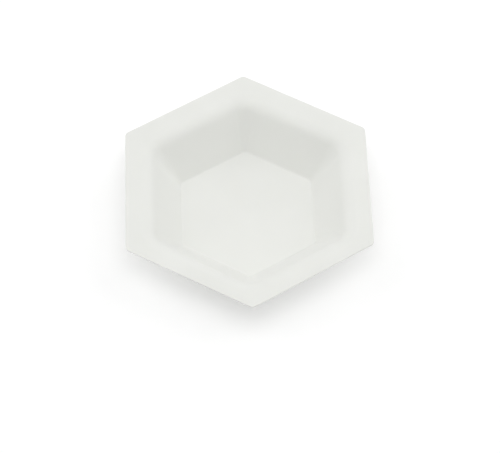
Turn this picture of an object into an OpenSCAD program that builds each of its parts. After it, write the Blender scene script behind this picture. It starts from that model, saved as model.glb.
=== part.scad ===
// Hexagonal weighing boat, formed from one thin plastic sheet: a flat floor, six leaning
// walls, a soft bend at the mouth and a wide flat flange with a cut edge.
// The origin is the middle of the rim's outline, at the height of the floor's underside. +Z is
// up, out of the well, and two of the six corners lie on the Y axis. All sizes are in millimetres.

/* [Rim] */
// Width of the rim across opposite flats
rim_flats = 51; // [44:0.5:80]
// Width of the flange, from the cut edge in to the line where it bends into the wall
flange_w = 5.0; // [3.6:0.1:8]
// Radius of the six rim corners, seen from above
rim_corner_r = 1.2; // [0.4:0.1:5]
// How far the die that cuts the rim out sits off the well's centre, towards +Y
trim_shift = 0.7; // [0:0.1:1.2]

/* [Well] */
// Width of the floor across opposite flats, between the lines where it bends into the wall
floor_flats = 28; // [20:0.1:34]
// Depth of the well, from the flange's upper face to the floor's upper face
depth = 8.5; // [6:0.5:20]
// Radius of the six upright corners where they leave the floor, seen from above
floor_corner_r = 1.4; // [1:0.1:4]
// Radius of the same corners where they reach the mouth, seen from above
mouth_corner_r = 3.6; // [1:0.1:8]

/* [Sheet] */
// Thickness of the sheet
sheet = 0.3; // [0.2:0.05:0.6]
// Radius of the upper face where the floor bends up into the wall
floor_bend_r = 0.5; // [0.3:0.1:1]
// Radius of the upper face where the wall bends out into the flange
mouth_bend_r = 4.0; // [1:0.1:6]

/* [Hidden] */

sides = 6;
half_side_angle = 180 / sides;
// Straight steps that stand for each round: a corner seen from above, and the two bends
corner_steps = 6;
floor_bend_steps = 4;
mouth_bend_steps = 8;
// Width of the flat band that the wall's section carries in past the floor's bend
floor_band = 1;

// Distances from the axis to the middle of a side, on the upper face
rim_apothem = rim_flats / 2;
mouth_apothem = rim_apothem - flange_w;
floor_apothem = floor_flats / 2;
// Where the well's axis crosses the Y axis
well_y = -trim_shift;
// Slope of the wall, from the level
wall_angle = atan2(depth, mouth_apothem - floor_apothem);

// The section of one side is a list of stations from the floor out to the cut edge. A station
// is [distance from its axis, height, slope of the sheet, distance to the corners' centres, the
// axis's place on Y].
function along(angle) = [cos(angle), sin(angle)];

// Stations round a bend: the section turns at `corner` from one slope to another
function bend(corner, from, to, r, core, steps) =
    let (start = corner - r * tan(abs(to - from) / 2) * along(from))
    [for (i = [0 : steps])
        let (
            turned = (to - from) * i / steps,
            p = start + 2 * r * sin(abs(turned) / 2) * along(from + turned / 2)
        )
        [p.x, p.y, from + turned, core, well_y]];

// How far a bend of radius r reaches along the wall from its corner, seen from above
function reach_on_wall(r) = r * tan(wall_angle / 2) * cos(wall_angle);

// The corners' centres lean out with the wall as their radius grows
floor_core = floor_apothem + reach_on_wall(floor_bend_r) - floor_corner_r;
mouth_core = mouth_apothem - reach_on_wall(mouth_bend_r) - mouth_corner_r;

// The floor, flat as far as its bend, `inset` in from there
floor_bend_start = floor_apothem - floor_bend_r * tan(wall_angle / 2);
function flat_floor(inset) =
    [floor_bend_start - inset, sheet, 0, floor_core - inset, well_y];

upper_stations = concat(
    [flat_floor(floor_band)],
    bend([floor_apothem, sheet], 0, wall_angle, floor_bend_r, floor_core, floor_bend_steps),
    bend([mouth_apothem, sheet + depth], wall_angle, 0, mouth_bend_r, mouth_core,
        mouth_bend_steps),
    [[rim_apothem, sheet + depth, 0, rim_apothem - rim_corner_r, 0]]
);

// The lower face lies one sheet thickness below the upper one, square to it
function below(station) = [
    station[0] + sheet * sin(station[2]),
    station[1] - sheet * cos(station[2]),
    station[2],
    station[3],
    station[4]
];

lower_stations = [for (i = [len(upper_stations) - 1 : -1 : 0]) below(upper_stations[i])];

// Outline of a hexagon with round corners, its sides `apothem` from the axis
function outline(apothem, core) = [
    for (side = [0 : sides - 1], step = [0 : corner_steps])
        let (
            corner_angle = (2 * side + 1) * half_side_angle,
            normal_angle = corner_angle + half_side_angle * (2 * step / corner_steps - 1)
        )
        core / cos(half_side_angle) * along(corner_angle)
            + (apothem - core) * along(normal_angle)
];

// The same outline about its station's axis and at its height
function ring(station) = [
    for (p = outline(station[0], station[3])) [p.x, p.y + station[4], station[1]]
];

// The walls, bends and flange: the sheet's section carried round the six sides, closed on
// itself across the floor's band
module wall_and_flange() {
    rings = [for (station = concat(upper_stations, lower_stations)) ring(station)];
    ring_len = len(rings[0]);
    faces = [
        for (r = [0 : len(rings) - 1], i = [0 : ring_len - 1])
            let (
                this_ring = r * ring_len,
                next_ring = (r + 1) % len(rings) * ring_len,
                next_i = (i + 1) % ring_len
            )
            [this_ring + i, this_ring + next_i, next_ring + next_i, next_ring + i]
    ];
    polyhedron(points = [for (one = rings, p = one) p], faces = faces);
}

// The flat floor, which ends halfway across the band and is one with it
module floor_panel() {
    edge = flat_floor(floor_band / 2);
    translate([0, edge[4]])
        linear_extrude(height = sheet)
            polygon(outline(edge[0], edge[3]));
}

module boat() {
    color("whitesmoke")
        union() {
            floor_panel();
            wall_and_flange();
        }
}

boat();
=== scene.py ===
"""A hexagonal weighing boat in thin off-white polystyrene, seen from above on a white ground.

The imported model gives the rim's width and the height. The sizes below are the rest of the
sheet's section, in metres, as the part has them.
"""

from math import atan2, cos, pi, radians, sin, tan

import bpy
from mathutils import Matrix, Quaternion, Vector


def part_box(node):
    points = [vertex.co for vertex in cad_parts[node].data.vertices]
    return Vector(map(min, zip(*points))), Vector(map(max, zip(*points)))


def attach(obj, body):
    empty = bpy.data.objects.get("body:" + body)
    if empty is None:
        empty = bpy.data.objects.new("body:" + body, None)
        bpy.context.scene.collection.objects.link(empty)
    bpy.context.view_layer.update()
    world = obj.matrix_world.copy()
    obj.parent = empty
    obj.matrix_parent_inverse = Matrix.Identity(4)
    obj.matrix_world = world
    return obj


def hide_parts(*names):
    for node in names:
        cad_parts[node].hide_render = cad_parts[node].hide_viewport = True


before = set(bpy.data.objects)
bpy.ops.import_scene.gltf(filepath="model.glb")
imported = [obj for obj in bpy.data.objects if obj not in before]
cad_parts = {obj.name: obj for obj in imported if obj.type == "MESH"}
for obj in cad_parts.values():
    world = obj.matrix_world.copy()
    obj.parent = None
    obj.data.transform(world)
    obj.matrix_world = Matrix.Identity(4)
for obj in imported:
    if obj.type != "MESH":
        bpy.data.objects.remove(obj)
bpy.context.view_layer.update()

MM = 0.001

# ---- The boat's section -----------------------------------------------------------------------

FLANGE_W = 5.0 * MM
RIM_CORNER_R = 1.2 * MM
# How far the rim was cut out off the well's centre, towards +Y
TRIM_SHIFT = 0.7 * MM
FLOOR_FLATS = 28.0 * MM
FLOOR_CORNER_R = 1.4 * MM
MOUTH_CORNER_R = 3.6 * MM
FLOOR_BEND_R = 0.5 * MM
MOUTH_BEND_R = 4.0 * MM
SHEET = 0.3 * MM
# The die that cuts the sheet out rounds the upper lip of its edge, and leaves the lower one crisper
UPPER_LIP_R = 0.10 * MM
LOWER_LIP_R = 0.05 * MM

boat_low, boat_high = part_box("boat")
RIM_APOTHEM = (boat_high.x - boat_low.x) / 2
RIM_TOP = boat_high.z
FLOOR_TOP = boat_low.z + SHEET

SIDES = 6
HALF_SIDE = pi / SIDES

# The boat's material slots
SHEET_FACE, CUT_EDGE = 0, 1

# ---- The mesh's fineness ----------------------------------------------------------------------

CORNER_STEPS = 10
SIDE_STEPS = 22
FLOOR_RINGS = 12
FLOOR_BEND_STEPS = 8
WALL_STEPS = 10
MOUTH_BEND_STEPS = 16
FLANGE_STEPS = 8
LIP_STEPS = 4


def along(angle):
    return Vector((cos(angle), sin(angle)))


def bend(corner, start_angle, end_angle, radius, core, steps):
    """Stations round a bend: (distance from the well's axis, height, slope, distance to the corners'
    centres, the axis's place on Y)."""
    turn = end_angle - start_angle
    start = corner - radius * tan(abs(turn) / 2) * along(start_angle)
    stations = []
    for i in range(steps + 1):
        turned = turn * i / steps
        p = start + 2 * radius * sin(abs(turned) / 2) * along(start_angle + turned / 2)
        stations.append((p.x, p.y, start_angle + turned, core, -TRIM_SHIFT))
    return stations


def between(a, b, steps):
    """Stations on the straight stretch from a to b, without either end."""
    return [
        tuple(u + (v - u) * i / steps for u, v in zip(a, b))
        for i in range(1, steps)
    ]


def upper_stations():
    """The upper face's section, from near the axis out to where the cut edge's lip starts."""
    mouth_apothem = RIM_APOTHEM - FLANGE_W
    floor_apothem = FLOOR_FLATS / 2
    wall = atan2(RIM_TOP - FLOOR_TOP, mouth_apothem - floor_apothem)

    def reach_on_wall(radius):
        return radius * tan(wall / 2) * cos(wall)

    floor_core = floor_apothem + reach_on_wall(FLOOR_BEND_R) - FLOOR_CORNER_R
    mouth_core = mouth_apothem - reach_on_wall(MOUTH_BEND_R) - MOUTH_CORNER_R
    floor_bend = bend(Vector((floor_apothem, FLOOR_TOP)), 0, wall, FLOOR_BEND_R, floor_core,
                      FLOOR_BEND_STEPS)
    mouth_bend = bend(Vector((mouth_apothem, RIM_TOP)), wall, 0, MOUTH_BEND_R, mouth_core,
                      MOUTH_BEND_STEPS)
    floor_edge = floor_bend[0]
    centre = (0, FLOOR_TOP, 0, 0, -TRIM_SHIFT)
    lip = (RIM_APOTHEM, RIM_TOP, 0, RIM_APOTHEM - RIM_CORNER_R, 0)
    return (
        between(centre, floor_edge, FLOOR_RINGS)
        + floor_bend
        + between(floor_bend[-1], mouth_bend[0], WALL_STEPS)
        + mouth_bend
        + between(mouth_bend[-1], lip, FLANGE_STEPS)
    )


def lower_station(station):
    """The lower face lies one sheet thickness below the upper one, square to it."""
    apothem, height, slope, core, axis_y = station
    return (apothem + SHEET * sin(slope), height - SHEET * cos(slope), slope, core, axis_y)


def edge_stations():
    """The cut edge, from the flange's upper face round the two lips to its lower face."""
    core = RIM_APOTHEM - RIM_CORNER_R
    stations = []
    for radius, height, start in (
        (UPPER_LIP_R, RIM_TOP - UPPER_LIP_R, pi / 2),
        (LOWER_LIP_R, RIM_TOP - SHEET + LOWER_LIP_R, 0),
    ):
        for i in range(LIP_STEPS + 1):
            angle = start - pi / 2 * i / LIP_STEPS
            p = Vector((RIM_APOTHEM - radius, height)) + radius * along(angle)
            stations.append((p.x, p.y, 0, core, 0))
    return stations


def outline(station):
    """A station carried round the six sides, as a closed ring of points with round corners."""
    apothem, height, _, core, axis_y = station
    points = []
    for side in range(SIDES):
        corner_angle = (2 * side + 1) * HALF_SIDE
        centre = core / cos(HALF_SIDE) * along(corner_angle)
        arc = [
            centre + (apothem - core) * along(corner_angle + HALF_SIDE * (2 * i / CORNER_STEPS - 1))
            for i in range(CORNER_STEPS + 1)
        ]
        next_angle = corner_angle + 2 * HALF_SIDE
        next_start = (core / cos(HALF_SIDE) * along(next_angle)
                      + (apothem - core) * along(next_angle - HALF_SIDE))
        side_points = [arc[-1].lerp(next_start, i / SIDE_STEPS) for i in range(1, SIDE_STEPS)]
        points += [(p.x, p.y + axis_y, height) for p in arc + side_points]
    return points


def sheet_mesh(name):
    """The whole sheet as one closed mesh: upper face, cut edge and lower face."""
    upper = upper_stations()
    edge = edge_stations()
    lower = [lower_station(s) for s in reversed(upper)]
    rings = [outline(s) for s in upper + edge + lower]
    count = len(rings[0])
    vertices = [p for ring in rings for p in ring]
    faces = []
    for r in range(len(rings) - 1):
        for i in range(count):
            j = (i + 1) % count
            faces.append((r * count + i, (r + 1) * count + i, (r + 1) * count + j, r * count + j))
    top_centre = len(vertices)
    vertices += [(0, -TRIM_SHIFT, FLOOR_TOP), (0, -TRIM_SHIFT, FLOOR_TOP - SHEET)]
    last = (len(rings) - 1) * count
    for i in range(count):
        j = (i + 1) % count
        faces.append((top_centre, i, j))
        faces.append((top_centre + 1, last + j, last + i))
    mesh = bpy.data.meshes.new(name)
    mesh.from_pydata(vertices, [], faces)
    mesh.validate()
    # Each ring's faces join it to the next ring, so the cut edge has one strip fewer than rings
    first_edge_face = len(upper) * count
    edge_faces = range(first_edge_face, first_edge_face + (len(edge) - 1) * count)
    for polygon in mesh.polygons:
        polygon.use_smooth = True
        polygon.material_index = CUT_EDGE if polygon.index in edge_faces else SHEET_FACE
    return mesh


# ---- Materials --------------------------------------------------------------------------------

POLYSTYRENE_IOR = 1.59
POLYSTYRENE_SPECULAR = 0.35
# How far light spreads inside the sheet, which is thin enough that some comes through it
LIGHT_SPREAD = 0.15 * MM

# Darker and paler colour of the faint clouds in each material, and its middle roughness
SHEET_COLORS = ((0.812, 0.818, 0.790, 1), (0.828, 0.834, 0.806, 1))
SHEET_ROUGHNESS = 0.47
# The sheared edge is rougher than the sheet's faces. Its colours are darker and greyer as painted
# shade, standing for the thin edge lying in shadow
EDGE_PAINTED_SHADE_COLORS = ((0.71, 0.71, 0.69, 1), (0.77, 0.77, 0.75, 1))
EDGE_ROUGHNESS = 0.75
ROUGHNESS_SPREAD = 0.05

# The noises' scales count their patches to the metre
CLOUD_SCALE = 90
CLOUD_DETAIL = 3
# Where on the noise's range the clouds' two colours lie
CLOUD_STOPS = (0.3, 0.7)
GRAIN_SCALE = 2500
GRAIN_DETAIL = 2
GRAIN_STRENGTH = 0.05
GRAIN_DEPTH = 0.01 * MM

GROUND_COLOR = (0.9, 0.9, 0.9, 1)
GROUND_ROUGHNESS = 0.9
GROUND_SPECULAR = 0.1
# The ground is lit from within as well, like a light table
GROUND_GLOW = 0.14


def node_material(name):
    material = bpy.data.materials.new(name)
    material.use_nodes = True
    nodes = material.node_tree.nodes
    return material, nodes, material.node_tree.links, nodes["Principled BSDF"]


def polystyrene(name, colors, roughness):
    """Antistatic polystyrene sheet: off-white, satin, with faint clouds and a fine grain."""
    material, nodes, links, shader = node_material(name)
    shader.inputs["IOR"].default_value = POLYSTYRENE_IOR
    shader.inputs["Specular IOR Level"].default_value = POLYSTYRENE_SPECULAR
    shader.inputs["Subsurface Weight"].default_value = 1
    shader.inputs["Subsurface Radius"].default_value = (1, 1, 1)
    shader.inputs["Subsurface Scale"].default_value = LIGHT_SPREAD

    place = nodes.new("ShaderNodeTexCoord")
    clouds = nodes.new("ShaderNodeTexNoise")
    clouds.inputs["Scale"].default_value = CLOUD_SCALE
    clouds.inputs["Detail"].default_value = CLOUD_DETAIL
    links.new(place.outputs["Object"], clouds.inputs["Vector"])
    tint = nodes.new("ShaderNodeValToRGB")
    for stop, position, color in zip(tint.color_ramp.elements, CLOUD_STOPS, colors):
        stop.position = position
        stop.color = color
    links.new(clouds.outputs["Fac"], tint.inputs["Fac"])
    links.new(tint.outputs["Color"], shader.inputs["Base Color"])

    gloss = nodes.new("ShaderNodeMapRange")
    gloss.inputs["To Min"].default_value = roughness - ROUGHNESS_SPREAD
    gloss.inputs["To Max"].default_value = roughness + ROUGHNESS_SPREAD
    links.new(clouds.outputs["Fac"], gloss.inputs["Value"])
    links.new(gloss.outputs["Result"], shader.inputs["Roughness"])

    grain = nodes.new("ShaderNodeTexNoise")
    grain.inputs["Scale"].default_value = GRAIN_SCALE
    grain.inputs["Detail"].default_value = GRAIN_DETAIL
    links.new(place.outputs["Object"], grain.inputs["Vector"])
    bump = nodes.new("ShaderNodeBump")
    bump.inputs["Strength"].default_value = GRAIN_STRENGTH
    bump.inputs["Distance"].default_value = GRAIN_DEPTH
    links.new(grain.outputs["Fac"], bump.inputs["Height"])
    links.new(bump.outputs["Normal"], shader.inputs["Normal"])
    return material


def white_ground():
    material, _, _, shader = node_material("ground")
    shader.inputs["Base Color"].default_value = GROUND_COLOR
    shader.inputs["Roughness"].default_value = GROUND_ROUGHNESS
    shader.inputs["Specular IOR Level"].default_value = GROUND_SPECULAR
    shader.inputs["Emission Color"].default_value = (1, 1, 1, 1)
    shader.inputs["Emission Strength"].default_value = GROUND_GLOW
    return material


# ---- The boat ---------------------------------------------------------------------------------

# How far wide faces outweigh narrow ones in the shading, so that flat stretches look flat
FLAT_FACE_WEIGHT = 50


def make_boat():
    piece = bpy.data.objects.new("formed_sheet", sheet_mesh("formed_sheet"))
    bpy.context.scene.collection.objects.link(piece)
    piece.data.materials.append(polystyrene("sheet_face", SHEET_COLORS, SHEET_ROUGHNESS))
    # The cut edge's darker colours are painted shade for the edge in shadow
    piece.data.materials.append(polystyrene("cut_edge_painted_shade", EDGE_PAINTED_SHADE_COLORS, EDGE_ROUGHNESS))
    smooth = piece.modifiers.new("flat_faces_first", "WEIGHTED_NORMAL")
    smooth.mode = "FACE_AREA"
    smooth.weight = FLAT_FACE_WEIGHT
    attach(piece, "root")
    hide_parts("boat")


# ---- Ground, light and camera -----------------------------------------------------------------

GROUND_HALF = 3.0
# Keeps the ground and the boat's underside from lying in one plane
GROUND_GAP = 0.02 * MM


def make_ground():
    mesh = bpy.data.meshes.new("ground")
    h, z = GROUND_HALF, -GROUND_GAP
    mesh.from_pydata([(-h, -h, z), (h, -h, z), (h, h, z), (-h, h, z)], [], [(0, 1, 2, 3)])
    ground = bpy.data.objects.new("ground", mesh)
    bpy.context.scene.collection.objects.link(ground)
    mesh.materials.append(white_ground())


def direction(azimuth, elevation):
    """Unit vector from the boat towards a place: azimuth 0 is in front, and 90 to its right."""
    a, e = radians(azimuth), radians(elevation)
    return Vector((sin(a) * cos(e), -cos(a) * cos(e), sin(e)))


SOFTBOX_DISTANCE = 0.6
SOFTBOX_WIDTH = 0.5
# Name, azimuth and elevation in degrees, power in watts
SOFTBOXES = (
    ("softbox_overhead", 0, 85, 0.83),
    ("softbox_front", 0, 65, 0.44),
    ("softbox_right", 120, 35, 0.84),
    ("softbox_left", 240, 35, 0.74),
)
WORLD_STRENGTH = 0.525


def make_softbox(name, azimuth, elevation, power):
    data = bpy.data.lights.new(name, "AREA")
    data.shape = "SQUARE"
    data.size = SOFTBOX_WIDTH
    data.energy = power
    lamp = bpy.data.objects.new(name, data)
    back = direction(azimuth, elevation)
    lamp.location = Vector((0, 0, RIM_TOP)) + SOFTBOX_DISTANCE * back
    lamp.rotation_euler = back.to_track_quat("Z", "Y").to_euler()
    bpy.context.scene.collection.objects.link(lamp)


def make_world():
    world = bpy.data.worlds.new("studio")
    world.use_nodes = True
    background = world.node_tree.nodes["Background"]
    background.inputs["Color"].default_value = (1, 1, 1, 1)
    background.inputs["Strength"].default_value = WORLD_STRENGTH
    bpy.context.scene.world = world


# Angles in degrees, lens and sensor in millimetres, nearest distance drawn in metres
CAMERA_AZIMUTH = -2.76
CAMERA_ELEVATION = 56.19
CAMERA_ROLL = 0.95
CAMERA_LENS = 152.2
CAMERA_SENSOR = 36
CAMERA_CLIP_START = 0.01
# In rim radii: the camera's distance, and how far right and down of the rim's centre it aims
CAMERA_DISTANCE = 14.99
AIM_RIGHT = 0.0213
AIM_DOWN = 0.2760


def make_camera():
    data = bpy.data.cameras.new("camera")
    data.lens = CAMERA_LENS
    data.sensor_width = CAMERA_SENSOR
    data.clip_start = CAMERA_CLIP_START
    camera = bpy.data.objects.new("camera", data)
    back = direction(CAMERA_AZIMUTH, CAMERA_ELEVATION)
    right = Vector((0, 0, 1)).cross(back).normalized()
    up = back.cross(right)
    rim_radius = RIM_APOTHEM / cos(HALF_SIDE)
    place = Vector((0, 0, RIM_TOP)) + rim_radius * (
        CAMERA_DISTANCE * back + AIM_RIGHT * right - AIM_DOWN * up
    )
    roll = Quaternion(back, radians(CAMERA_ROLL))
    right.rotate(roll)
    up.rotate(roll)
    camera.matrix_world = Matrix.Translation(place) @ Matrix((right, up, back)).transposed().to_4x4()
    bpy.context.scene.collection.objects.link(camera)
    bpy.context.scene.camera = camera


make_boat()
make_ground()
for softbox in SOFTBOXES:
    make_softbox(*softbox)
make_world()
make_camera()
bpy.context.scene.view_settings.view_transform = "Standard"
